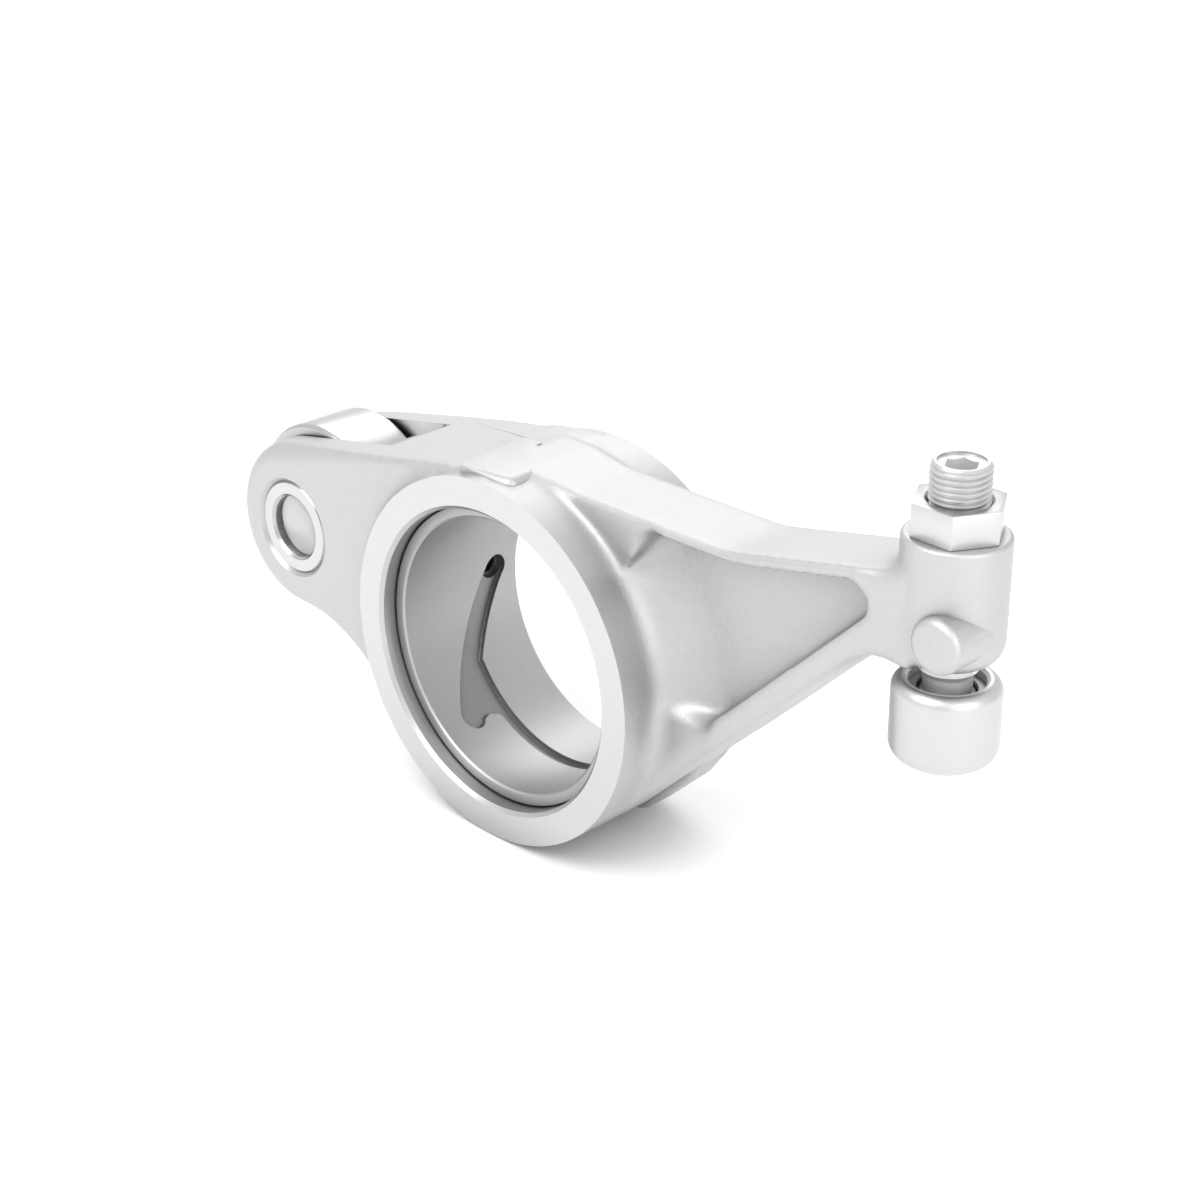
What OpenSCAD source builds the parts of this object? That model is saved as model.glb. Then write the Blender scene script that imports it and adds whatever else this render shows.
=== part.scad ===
// Valve rocker arm with a cam roller at one end and an adjusting screw with a swivel foot
// at the other. Millimetres. The origin is the middle of the hub on the axis of its bore,
// +Y runs along that axis, +X towards the adjusting screw, and +Z up along the screw.

/* [Hub and bush] */
// Outer diameter of the hub
hub_d = 72; // [70:0.5:76]
// Width of the hub between its machined faces
hub_w = 33.8; // [33:0.2:38]
// Bore of the hub that the bush is pressed into
seat_d = 59.2; // [57:0.2:61]
// Wall of the bush, which runs on the rocker shaft
bush_wall = 2.5; // [1.8:0.1:4]
// How far the bush stands back from the front face
bush_recess_front = 3.6; // [1:0.2:5]
// How far the bush stands back from the rear face
bush_recess_rear = 0.5; // [0.2:0.1:3]
// Chamfer at each mouth of the hub bore
seat_chamfer = 0.7; // [0.3:0.1:1.2]

/* [Oil groove] */
// Depth of the oil groove in the bush
groove_depth = 1.1; // [0.5:0.1:1.6]
// Width of the slanted arm of the groove
groove_w = 5; // [3:0.2:5]
// Diameter of the oil hole that the groove starts from
oil_hole_d = 5.4; // [5.2:0.1:6]
// Width of the arm that runs round the lower half of the bush
long_groove_w = 3.8; // [2.4:0.2:5]
// Bore of the oil gallery in the rear ear
gallery_d = 4; // [3:0.2:5]

/* [Ears and roller] */
// Distance from the hub axis to the roller axis, along the arm
pin_x = 58.7; // [57.5:0.1:66]
// Height of the roller axis above the hub axis
pin_z = 8.8; // [4:0.2:10]
// Radius of the nose round the roller pin
nose_r = 17.1; // [15:0.1:18]
// Width over the two ears
ears_w = 29.8; // [28.4:0.2:32]
// Width of the slot that the roller runs in
slot_w = 15.8; // [15.4:0.1:17]
// Slope of the top of the ears in degrees
ear_slope = 11.1; // [8:0.1:13]
// Length of the flat under the nose
ear_flat = 5.5; // [3:0.5:7]
// Slope of the underside of the ears behind that flat, in degrees
ear_under_slope = 22.5; // [18:0.5:25]
// Rounding of the forged outer edges of the ears
ear_edge_r = 3.2; // [2:0.1:4]
// Diameter of the roller pin
pin_d = 19; // [17:0.5:21]
// Bore of the hollow roller pin
pin_bore_d = 12.7; // [9:0.1:13.5]
// How far each end of the pin stands back from the ear
pin_recess = 0.4; // [0.1:0.1:1.5]
// Outer diameter of the cam roller
roller_d = 38.4; // [37:0.2:41]
// Width of the cam roller
roller_w = 14.6; // [13:0.1:15]
// Rounding of the roller's edges
roller_edge_r = 0.9; // [0.4:0.1:1.5]
// Wall of the floating bush between the pin and the roller
roller_bush_wall = 2.5; // [1.5:0.1:3]

/* [Arm] */
// Height of the flat top of the arm above the hub axis
arm_top_z = 35.7; // [34:0.1:36]
// Where the top of the arm starts to rise towards the boss
arm_bend_x = 50; // [44:1:58]
// Rise of the top of the arm towards the boss in degrees
arm_rise = 12.2; // [8:0.2:15]
// Slope of the lower rib in degrees
lower_slope = 43.8; // [41:0.1:45]
// Width of the arm's ribs
rib_w = 17; // [14:0.5:17.6]
// Thickness of the upper rib over the web
upper_rib_t = 1.7; // [1.6:0.1:4]
// Thickness of the lower rib under the web
lower_rib_t = 4.4; // [3:0.2:6]
// Rounding of the ribs' outer edges
rib_edge_r = 1.4; // [0.6:0.1:1.5]
// Rounding of the hollow's corner beside the boss
pocket_r = 5; // [3:0.2:6]
// Thickness of the web between the ribs
web_t = 6; // [4:0.5:8]

/* [Screw boss] */
// Distance from the hub axis to the screw axis
screw_x = 92; // [90:0.5:98]
// Diameter of the boss that holds the adjusting screw
boss_d = 18; // [17.8:0.1:20]
// Height of the top face of the boss
boss_top_z = 49.5; // [48:0.5:54]
// Height of the underside of the boss
boss_bottom_z = 27.5; // [26.5:0.5:29]
// Rounding of the underside of the boss
boss_bottom_r = 4; // [2:0.1:4]
// Diameter of the round lug on the front of the boss
lug_d = 8.8; // [7:0.2:10]

/* [Adjusting screw and nut] */
// Diameter of the adjusting screw over its thread
screw_d = 10; // [9:0.5:10]
// Height of the top of the screw
screw_top_z = 61.5; // [60:0.5:66]
// Width across flats of the screw's hexagon socket
socket_af = 5; // [4:0.5:5]
// Depth of the hexagon socket
socket_depth = 5; // [3:0.5:7]
// Width across flats of the lock nut
nut_af = 14; // [14:0.5:15]
// Height of the lock nut
nut_h = 5.75; // [4:0.25:8]

/* [Swivel foot] */
// Diameter of the foot
foot_d = 18.2; // [18:0.2:20]
// Height of the foot's flat face above the hub axis
foot_bottom_z = 9.6; // [9:0.1:10]
// Height of the foot
foot_h = 14.7; // [14.4:0.1:15]
// Diameter of the ball on the screw
ball_d = 12; // [11:0.2:12]
// Diameter of the neck above the ball
neck_d = 8.2; // [7.4:0.1:8.4]
// Thickness of the foot's floor under the ball
foot_floor = 2.15; // [1.6:0.05:2.4]

/* [Fits] */
// Radial running clearance of every turning or sliding fit
running_gap = 0.05; // [0.02:0.01:0.08]

/* [Hidden] */
$fn = 96;
arc_steps = 8;
edge_fn = 24;
slack = 1;

hub_r = hub_d / 2;
hub_front = -hub_w / 2;
hub_rear = hub_w / 2;
seat_r = seat_d / 2;
bush_r = seat_r - bush_wall;
bush_front = hub_front + bush_recess_front;
bush_rear = hub_rear - bush_recess_rear;
floor_r = bush_r + groove_depth;
long_floor_r = floor_r - 0.1;

// The oil hole lies a little below the line to the roller pin, in the rear ear's plane
oil_hole_angle = 175.4;
oil_hole_forward = 0.8;
oil_hole_y = (slot_w + ears_w) / 4 - oil_hole_forward;
slant_end_angle = 232;
slant_end_y = -5.4;
long_groove_start = 212;
long_groove_end = 318;
long_groove_y = 1.6;

pin_r = pin_d / 2;
pin_end = ears_w / 2 - pin_recess;
ear_hole_chamfer = 0.7;
pin_mouth_chamfer = 0.55;
plug_set_back = 2.2;
plug_t = 3;
dish_depth = 1.6;
pin_oil_hole_d = 3;
bush_out_r = pin_r + running_gap + roller_bush_wall;
bush_set_back = 0.3;
roller_bush_w = roller_w - 2 * bush_set_back;
bush_oil_holes = 3;
bush_oil_hole_d = 2.5;
slot_end_gap = 2.3;
slot_end_x = -pin_x + roller_d / 2 + slot_end_gap;
slot_corner_r = 3;
plug_ball_r = gallery_d / 2 + 0.5;
plug_seat_depth = 6;
plug_at = pin_x + nose_r - plug_seat_depth;

under_meets_hub = 0.8;
flat_bar_share = 0.8;
slope_bar_share = 0.6;

boss_r = boss_d / 2;
boss_top_r = 0.7;
under_drop = 1.6;
under_lift = 1.4;
rib_depth = 4.4;
joint_lap = 2;
side_step = 0.12;
pocket_x = 32;
pocket_low_x = 45;
pocket_back = 5.5;
pocket_lift = 4;
pocket_side_z = 15;
pocket_top_r = 3;
pocket_bend_r = 8;
pocket_low_r = 2.5;
pocket_side_r = 10;
crown_back = 10;
crown_run = 14;
crown_drop = 5;
lug_proud = 0.12;
lug_x = screw_x + boss_r + lug_proud - lug_d / 2;
lug_up = 7.5;
lug_z = boss_bottom_z + lug_up;
lug_reach = 2.4;
lug_nose_r = 3;
pad_x = -9;
pad_w = 13.6;
pad_len = 17;
pad_h = 0.9;
pad_skew = 1.6;
pad_corner_w = 3;
pad_corner_len = 10;
pad_root = 6;
pad_from_face = 2.3;
foot_pad_x = 10.5;
foot_pad_w = 7.5;
foot_pad_y = 0.5;

screw_r = screw_d / 2;
thread_r = screw_r + running_gap;
screw_chamfer = 0.65;
socket_rim_r = 3.98;
socket_rim_depth = 0.5;
ball_r = ball_d / 2;
neck_r = neck_d / 2;
ball_z = foot_bottom_z + foot_floor + ball_r + running_gap;
shank_end_z = foot_bottom_z + foot_h + 1.8;
neck_cove = screw_r - neck_r;
nut_bore_chamfer = 0.3;

foot_r = foot_d / 2;
foot_top_z = foot_bottom_z + foot_h;
foot_bottom_r = 3.4;
foot_shoulder_r = 2.1;
mouth_r = ball_r + 0.42;
mouth_chamfer = 0.55;
ring_t = 0.9;
ring_z = foot_top_z - 2.7;
ring_in_r = ball_r - 1;
ring_groove = 0.8;
ring_gap_deg = 24;

// Points of an arc round [x, y] from angle a to angle b
function arc(x, y, r, a, b, n = arc_steps) =
    [for (i = [0:n]) [x + r * cos(a + (b - a) * i / n), y + r * sin(a + (b - a) * i / n)]];

// A unit vector from point p to point q
function towards(p, q) = (q - p) / norm(q - p);

// One corner of an outline, rounded to radius r: p before, q the corner, s after
function corner(p, q, s, r) =
    let (u = towards(q, p), v = towards(q, s), half = acos(u * v) / 2,
        centre = q + (u + v) / norm(u + v) * r / sin(half),
        first = q + u * r / tan(half), last = q + v * r / tan(half),
        a = atan2(first[1] - centre[1], first[0] - centre[0]),
        b = atan2(last[1] - centre[1], last[0] - centre[0]),
        turn = b - a > 180 ? b - a - 360 : (b - a < -180 ? b - a + 360 : b - a))
    arc(centre[0], centre[1], r, a, a + turn);

// A closed outline whose corners [x, y, r] are rounded
function rounded(points) =
    let (n = len(points), at = [for (p = points) [p[0], p[1]]])
    [for (i = [0:n - 1]) each
        corner(at[(i + n - 1) % n], at[i], at[(i + 1) % n], points[i][2])];

// Stands a flat XZ outline up and gives it a width in Y, middle on y
module plate(w, y = 0) {
    translate([0, y + w / 2, 0]) rotate([90, 0, 0]) linear_extrude(w) children();
}

// Half profile of a round bar from a to b along its axis, with its two edges rounded
module round_bar(r, a, b, edge_a, edge_b) {
    middle = (a + b) / 2;
    translate([0, a]) square([r - edge_a, middle - a]);
    translate([0, middle]) square([r - edge_b, b - middle]);
    translate([0, a + edge_a]) square([r, b - a - edge_a - edge_b]);
    translate([r - edge_a, a + edge_a]) circle(edge_a, $fn = edge_fn);
    translate([r - edge_b, b - edge_b]) circle(edge_b, $fn = edge_fn);
}

// Turns a half profile, drawn as radius and distance, about an axis along Y
module turned_y() {
    rotate([-90, 0, 0]) rotate_extrude() children();
}

// A cylinder along Y from y = a to y = b
module rod_y(r, a, b) {
    translate([0, a, 0]) rotate([-90, 0, 0]) cylinder(r = r, h = b - a);
}

// A cone along Y from radius ra at y = a to radius rb at y = b
module cone_y(ra, rb, a, b) {
    translate([0, a, 0]) rotate([-90, 0, 0]) cylinder(r1 = ra, r2 = rb, h = b - a);
}

// A forged bar whose outer face runs from p to q in XZ, and whose metal lies to its right
module bar(p, q, w, depth, r) {
    run = norm(q - p);
    translate([p[0], 0, p[1]]) rotate([0, -atan2(q[1] - p[1], q[0] - p[0]), 0])
        rotate([90, 0, 90]) linear_extrude(run) union() {
            translate([-w / 2 + r, -depth]) square([w - 2 * r, depth]);
            translate([-w / 2, -depth + r]) square([w, depth - 2 * r]);
            for (y = [-1, 1], z = [-r, -depth + r])
                translate([y * (w / 2 - r), z]) circle(r, $fn = edge_fn);
        }
}

module at_pin() {
    translate([-pin_x, 0, pin_z]) children();
}

// A point d further along the line that runs from p through q, measured from q
function beyond(p, q, d) = q + d * towards(p, q);

// Where the line through p along u crosses the line through q along v
function meet(p, u, q, v) =
    p + u * (v[1] * (q[0] - p[0]) - v[0] * (q[1] - p[1])) / (u[0] * v[1] - u[1] * v[0]);

// The round nose about the roller axis
module nose() {
    half = ears_w / 2;
    at_pin() turned_y() round_bar(nose_r, -half, half, ear_edge_r, ear_edge_r);
}

// The ears grow out of the hub as one block, and the slot divides them later
module ear_block() {
    normal = [-sin(ear_slope), cos(ear_slope)];
    along = [cos(ear_slope), sin(ear_slope)];
    reach = nose_r - side_step;
    top = [-pin_x, pin_z] + reach * normal;
    top_end = top + along * (-crown_back - top[0]) / along[0];
    under = [-pin_x, pin_z - reach];
    kink = under + [ear_flat, 0];
    under_end = kink + (pin_x - ear_flat - hub_r * under_meets_hub)
        * [1, -tan(ear_under_slope)];
    inset = ear_edge_r + slack;
    bar(top, top_end, ears_w - 2 * side_step, reach, ear_edge_r);
    bar(beyond(under, kink, joint_lap), under, ears_w - 2 * side_step, reach * flat_bar_share,
        ear_edge_r);
    bar(under_end, beyond(under_end, kink, joint_lap), ears_w - 4 * side_step,
        reach * slope_bar_share, ear_edge_r);
    nose();
    crown = top_end - side_step * normal;
    plate(ears_w - 2 * ear_edge_r - slack) polygon([crown - slack * normal - inset * along,
        crown, crown + crown_run * [1, -tan(crown_drop)], [0, bush_r]]);
    plate(ears_w - 6 * side_step) polygon([top - inset * normal, top_end - inset * normal, [0, 0],
        under_end + [0, inset], kink + [0, inset], under + [0, inset]]);
}

// Corners of the arm's outline: top line, underside and the boss
function arm_bend() = [arm_bend_x, arm_top_z];
function arm_rise_end() = arm_bend() + (screw_x - boss_r / 2 - arm_bend_x) * [1, tan(arm_rise)];
function lower_along() = [cos(lower_slope), sin(lower_slope)];
function lower_start() = (hub_r - side_step) * [sin(lower_slope), -cos(lower_slope)];
function lower_end() =
    meet(lower_start(), lower_along(), [0, boss_bottom_z - under_drop], [1, 0]);
function under_boss() = [screw_x - boss_r / 2, boss_bottom_z + slack];

// The upper rib, the lower rib and the web between them
module arm_beam() {
    crown = [0, arm_top_z];
    bend = arm_bend();
    rise_end = arm_rise_end();
    start = lower_start();
    end = lower_end();
    under = under_boss();
    up = [0, -rib_depth / 2];
    end_w = rib_w - 2 * side_step;
    bar(crown, beyond(crown, bend, joint_lap), rib_w, rib_depth, rib_edge_r);
    bar(beyond(rise_end, bend, joint_lap), rise_end, end_w, rib_depth, rib_edge_r);
    bar(beyond(start, end, joint_lap), start, rib_w, rib_depth, rib_edge_r);
    bar(under, beyond(under, end, joint_lap), end_w, rib_depth, rib_edge_r);
    plate(end_w - 2 * side_step) polygon([crown + up, bend + up, rise_end + up, under - up,
        end - up * under_lift, start * (1 - rib_depth / 2 / hub_r), [0, 0]]);
}

// The hollow on one side of the web, corners as [x, z, radius]
module pocket() {
    along = lower_along();
    low = lower_start() * (1 - lower_rib_t / hub_r);
    top = arm_bend() - [0, upper_rib_t];
    right = meet(top, [cos(arm_rise), sin(arm_rise)], low, along);
    left = meet(low, along, [pocket_low_x, 0], [0, 1]);
    polygon(rounded([[pocket_x, top[1], pocket_top_r], [top[0], top[1], pocket_bend_r],
        [right[0], right[1], pocket_r], [left[0], left[1], pocket_low_r],
        [left[0] - pocket_back, left[1] + pocket_lift, pocket_lift],
        [pocket_x, pocket_side_z, pocket_side_r]]));
}

module boss() {
    translate([screw_x, 0, 0]) rotate_extrude($fn = 64)
        round_bar(boss_r, boss_bottom_z, boss_top_z, boss_bottom_r, boss_top_r);
}

// A blunt round lug along Y on the front of the boss
module lug() {
    front = -boss_r - lug_reach;
    translate([lug_x, 0, lug_z]) rotate([-90, 0, 0]) rotate_extrude($fn = 48)
        polygon(concat([[0, front]],
            arc(lug_d / 2 - lug_nose_r, front + lug_nose_r, lug_nose_r, -90, 0, 5),
            [[lug_d / 2, 0], [0, 0]]));
}

// Small raised flats: one on the crown of the hub, one under the lower rib
module pads() {
    translate([pad_x, -hub_w / 2 + pad_from_face, hub_r - pad_root])
        linear_extrude(pad_root + pad_h)
            polygon([[pad_skew, 0], [pad_w, 0], [pad_w, pad_len - pad_corner_len],
                [pad_w - pad_corner_w, pad_len], [0, pad_len]]);
    rotate([0, -lower_slope, 0]) translate([foot_pad_x, foot_pad_y, -hub_r - pad_h])
        linear_extrude(pad_h + pad_root / 2) square([foot_pad_w, rib_w / 2 - slack]);
}

module roller_slot() {
    half = slot_w / 2;
    far = pin_x + nose_r + slack;
    translate([0, 0, -hub_d]) linear_extrude(2 * hub_d) polygon(concat(
        arc(slot_end_x - slot_corner_r, -half + slot_corner_r, slot_corner_r, -90, 0),
        arc(slot_end_x - slot_corner_r, half - slot_corner_r, slot_corner_r, 0, 90),
        [[-far, half], [-far, -half]]));
}

// Moves to a point d from the hub axis along the oil gallery, with Z pointing outwards
module on_gallery(d) {
    translate([0, oil_hole_y, 0]) rotate([0, 180 - oil_hole_angle, 0])
        rotate([0, -90, 0]) translate([0, 0, d]) children();
}

// The oil gallery, drilled from the nose of the rear ear through the pin's seat to the bush
module gallery() {
    reach = pin_x + nose_r + slack;
    on_gallery(bush_r) cylinder(d = gallery_d, h = reach - bush_r);
    on_gallery(plug_at) cylinder(r = plug_ball_r, h = plug_seat_depth + 2 * slack);
}

module arm_body() color("gainsboro") difference() {
    union() {
        rod_y(hub_r, hub_front, hub_rear);
        ear_block();
        difference() {
            arm_beam();
            for (s = [-1, 1]) plate(rib_w, s * (rib_w + web_t) / 2) pocket();
        }
        boss();
        lug();
        pads();
    }
    rod_y(seat_r, hub_front - slack, hub_rear + slack);
    for (s = [-1, 1]) scale([1, s, 1]) {
        cone_y(seat_r + seat_chamfer, seat_r, hub_front, hub_front + seat_chamfer);
        at_pin() cone_y(pin_r + ear_hole_chamfer, pin_r, -ears_w / 2,
            -ears_w / 2 + ear_hole_chamfer);
    }
    roller_slot();
    at_pin() rod_y(pin_r, -ears_w / 2 - slack, ears_w / 2 + slack);
    gallery();
    translate([screw_x, 0, boss_bottom_z - slack])
        cylinder(r = thread_r, h = boss_top_z - boss_bottom_z + 2 * slack);
}

// The slanted arm of the groove, a slot with round ends seen along its own radius
module slant_slot() {
    mid = (oil_hole_angle + slant_end_angle) / 2;
    reach = bush_r * sin((slant_end_angle - oil_hole_angle) / 2);
    lean = atan2(oil_hole_y - slant_end_y, 2 * reach);
    r = groove_w / 2;
    rotate([0, -mid, 0]) rotate([0, 90, 0]) linear_extrude(floor_r + slack)
        polygon(concat(arc(reach, oil_hole_y, r, lean - 90, lean + 90),
            arc(-reach, slant_end_y, r, lean + 90, lean + 270)));
}

// The arm that runs on round the loaded lower half of the bush
module long_groove() {
    translate([0, long_groove_y, 0]) rotate([90, 0, 0]) rotate([0, 0, long_groove_start])
        rotate_extrude(angle = long_groove_end - long_groove_start)
            translate([bush_r - slack, -long_groove_w / 2])
                square([long_floor_r - bush_r + slack, long_groove_w]);
}

module shaft_bush() color("darkkhaki") difference() {
    rod_y(seat_r, bush_front, bush_rear);
    rod_y(bush_r, bush_front - slack, bush_rear + slack);
    intersection() {
        slant_slot();
        rod_y(floor_r, bush_front - slack, bush_rear + slack);
    }
    long_groove();
    on_gallery(0) cylinder(d = oil_hole_d, h = seat_r + slack);
}

// The hollow pin: oil comes in from the gallery and goes out under the floating bush
module roller_pin() color("silver") difference() {
    at_pin() rod_y(pin_r, -pin_end, pin_end);
    at_pin() rod_y(pin_bore_d / 2, -pin_end - slack, pin_end + slack);
    for (s = [-1, 1]) at_pin() scale([1, s, 1])
        cone_y(pin_bore_d / 2 + pin_mouth_chamfer, pin_bore_d / 2, -pin_end,
            -pin_end + pin_mouth_chamfer);
    on_gallery(pin_x - pin_r - slack) cylinder(d = pin_oil_hole_d, h = pin_r);
    at_pin() translate([0, 0, -pin_r - slack]) cylinder(d = pin_oil_hole_d, h = pin_r);
}

// A dished disc that closes one end of the hollow pin, hollow side out
module pin_plug(side) color("lightsteelblue") at_pin() scale([1, side, 1]) {
    outer = -pin_end + plug_set_back;
    rim_r = pin_bore_d / 2;
    dish_r = (rim_r * rim_r + dish_depth * dish_depth) / (2 * dish_depth);
    difference() {
        rod_y(rim_r, outer, outer + plug_t);
        translate([0, outer + dish_depth - dish_r, 0]) sphere(dish_r);
    }
}

module pin_plug_front() pin_plug(1);

module pin_plug_rear() pin_plug(-1);

// The steel ball pressed into the drilled end of the gallery
module gallery_plug() color("silver")
    on_gallery(plug_at + plug_ball_r) sphere(plug_ball_r, $fn = 48);

module roller_bush() color("goldenrod") at_pin() difference() {
    rod_y(bush_out_r, -roller_bush_w / 2, roller_bush_w / 2);
    rod_y(pin_r + running_gap, -roller_bush_w / 2 - slack, roller_bush_w / 2 + slack);
    for (i = [1:bush_oil_holes]) rotate([0, i * 360 / bush_oil_holes, 0])
        translate([0, 0, pin_r - slack])
            cylinder(d = bush_oil_hole_d, h = roller_bush_wall + 2 * slack);
}

module cam_roller() color("gray") at_pin() difference() {
    turned_y() round_bar(roller_d / 2, -roller_w / 2, roller_w / 2,
        roller_edge_r, roller_edge_r);
    rod_y(bush_out_r + running_gap, -roller_w, roller_w);
}

// Half profile of the screw: ball, neck, shank and chamfered top
module screw_profile() {
    square_top = screw_top_z - screw_chamfer;
    intersection() {
        translate([0, ball_z]) circle(ball_r);
        translate([0, ball_z - ball_r]) square([ball_r, 2 * ball_r]);
    }
    polygon([[0, ball_z], [neck_r, ball_z], [neck_r, shank_end_z - neck_cove],
        [screw_r, shank_end_z], [screw_r, square_top],
        [screw_r - screw_chamfer, screw_top_z], [0, screw_top_z]]);
}

module adjusting_screw() color("dimgray") translate([screw_x, 0, 0]) difference() {
    rotate_extrude() screw_profile();
    translate([0, 0, screw_top_z - socket_rim_depth])
        cylinder(r = socket_rim_r, h = socket_rim_depth + slack);
    translate([0, 0, screw_top_z - socket_rim_depth - socket_depth])
        cylinder(d = socket_af / cos(30), h = socket_depth + slack, $fn = 6);
}

module lock_nut() color("silver") translate([screw_x, 0, boss_top_z]) difference() {
    cylinder(d = nut_af / cos(30), h = nut_h, $fn = 6);
    translate([0, 0, -slack]) cylinder(r = thread_r, h = nut_h + 2 * slack);
    translate([0, 0, nut_h - nut_bore_chamfer])
        cylinder(r1 = thread_r, r2 = thread_r + nut_bore_chamfer, h = nut_bore_chamfer);
    cylinder(r1 = thread_r + nut_bore_chamfer, r2 = thread_r, h = nut_bore_chamfer);
}

// The split ring that keeps the ball in the foot
module foot_ring() color("slategray") translate([screw_x, 0, ring_z])
    rotate([0, 0, 90 + ring_gap_deg / 2]) rotate_extrude(angle = 360 - ring_gap_deg)
        translate([ring_in_r, 0])
            square([mouth_r + ring_groove - running_gap - ring_in_r, ring_t]);

module swivel_foot() color("gray") translate([screw_x, 0, 0]) difference() {
    rotate_extrude()
        round_bar(foot_r, foot_bottom_z, foot_top_z, foot_bottom_r, foot_shoulder_r);
    translate([0, 0, ball_z]) sphere(ball_r + running_gap);
    translate([0, 0, ball_z]) cylinder(r = mouth_r, h = foot_h);
    translate([0, 0, foot_top_z - mouth_chamfer])
        cylinder(r1 = mouth_r, r2 = mouth_r + mouth_chamfer, h = mouth_chamfer);
    translate([0, 0, ring_z - running_gap])
        cylinder(r = mouth_r + ring_groove, h = ring_t + 2 * running_gap);
}

arm_body();
shaft_bush();
roller_pin();
pin_plug_front();
pin_plug_rear();
gallery_plug();
roller_bush();
cam_roller();
adjusting_screw();
lock_nut();
foot_ring();
swivel_foot();
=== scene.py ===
"""Valve rocker arm, dressed: the forging and its bush, the roller, the screw, the nut and the foot.

Every piece is modelled on the bench in millimetres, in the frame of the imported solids, and is
brought to metres when it is finished.
"""

from __future__ import annotations

import logging
import math
from contextlib import contextmanager
from dataclasses import dataclass
from enum import Enum, IntEnum
from typing import Callable, Iterator, Sequence

import bpy
from mathutils import Matrix, Vector


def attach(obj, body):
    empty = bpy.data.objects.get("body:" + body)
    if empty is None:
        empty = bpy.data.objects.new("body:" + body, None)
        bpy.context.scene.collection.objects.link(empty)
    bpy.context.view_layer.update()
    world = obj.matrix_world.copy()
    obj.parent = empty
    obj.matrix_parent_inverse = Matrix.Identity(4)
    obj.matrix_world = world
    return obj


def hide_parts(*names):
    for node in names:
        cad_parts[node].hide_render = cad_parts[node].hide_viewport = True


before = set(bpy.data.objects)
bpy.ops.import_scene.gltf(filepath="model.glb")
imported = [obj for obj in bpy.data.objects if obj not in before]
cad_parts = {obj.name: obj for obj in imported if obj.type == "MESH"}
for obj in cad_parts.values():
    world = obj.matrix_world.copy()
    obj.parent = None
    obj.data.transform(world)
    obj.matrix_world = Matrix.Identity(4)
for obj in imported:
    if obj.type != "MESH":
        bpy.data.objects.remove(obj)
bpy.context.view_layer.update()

logging.basicConfig(level=logging.INFO, format="%(message)s")
log = logging.getLogger("rocker")

MM = 0.001
Point = Sequence[float]
Outline = list[tuple[float, float]]
Triple = tuple[float, float, float]

# Sizes in millimetres that more than one piece is made to.
PIN_X, PIN_Z, PIN_R = -58.7, 8.8, 9.5
SEAT_R = 29.6
SCREW_X, SCREW_R = 92.0, 5.0
BOSS_TOP = 49.5
BALL_Z = 17.8
GALLERY_ANGLE, GALLERY_Y, GALLERY_MOUTH_R = 175.4, 10.55, 2.5


class Op(Enum):
    """What a cutter does to the stock."""

    ADD = "UNION"
    CUT = "DIFFERENCE"
    KEEP = "INTERSECT"


class Along(Enum):
    """The axis that a turned piece is turned about."""

    Y = (0.0, 1.0, 0.0)
    Z = (0.0, 0.0, 1.0)


# Outlines


def arc(x: float, z: float, r: float, start: float, end: float, steps: int = 8) -> Outline:
    """Points of an arc.

    Args:
        x: Centre, first coordinate.
        z: Centre, second coordinate.
        r: Radius.
        start: First angle in degrees.
        end: Last angle in degrees.
        steps: Number of chords.

    Returns:
        steps + 1 points.
    """
    turns = [math.radians(start + (end - start) * i / steps) for i in range(steps + 1)]
    return [(x + r * math.cos(t), z + r * math.sin(t)) for t in turns]


def rounded(corners: Sequence[tuple[float, float, float]], steps: int = 8) -> Outline:
    """A closed outline with its corners rounded.

    Args:
        corners: (x, z, radius) of each corner in turn. Radius 0 leaves it sharp.
        steps: Chords in each rounding.

    Returns:
        The outline's points.
    """
    points: Outline = []
    count = len(corners)
    for i, (x, z, r) in enumerate(corners):
        here = Vector((x, z))
        back = (Vector(corners[i - 1][:2]) - here).normalized()
        ahead = (Vector(corners[(i + 1) % count][:2]) - here).normalized()
        half = math.acos(max(-1.0, min(1.0, back.dot(ahead)))) / 2
        if r <= 0 or half > math.radians(89.5):
            points.append((x, z))
            continue
        centre = here + (back + ahead).normalized() * r / math.sin(half)
        first = here + back * r / math.tan(half) - centre
        last = here + ahead * r / math.tan(half) - centre
        a = math.degrees(math.atan2(first.y, first.x))
        b = math.degrees(math.atan2(last.y, last.x))
        turn = (b - a + 180) % 360 - 180
        points += arc(centre.x, centre.y, r, a, a + turn, steps)
    return points


def tube(inner: float, outer: float, front: float, rear: float, inner_edge: float,
         outer_edge: float) -> Outline:
    """The profile of a tube with its four edges chamfered.

    Args:
        inner: Radius of the bore.
        outer: Radius of the outside.
        front: Where the tube starts along its axis.
        rear: Where it ends.
        inner_edge: Width of the chamfers on the bore.
        outer_edge: Width of the chamfers on the outside.

    Returns:
        (radius, distance along the axis) of each corner, back to the first one.
    """
    low, high = inner + inner_edge, outer - outer_edge
    return [(low, front), (high, front), (outer, front + outer_edge), (outer, rear - outer_edge),
            (high, rear), (low, rear), (inner, rear - inner_edge), (inner, front + inner_edge),
            (low, front)]


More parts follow.
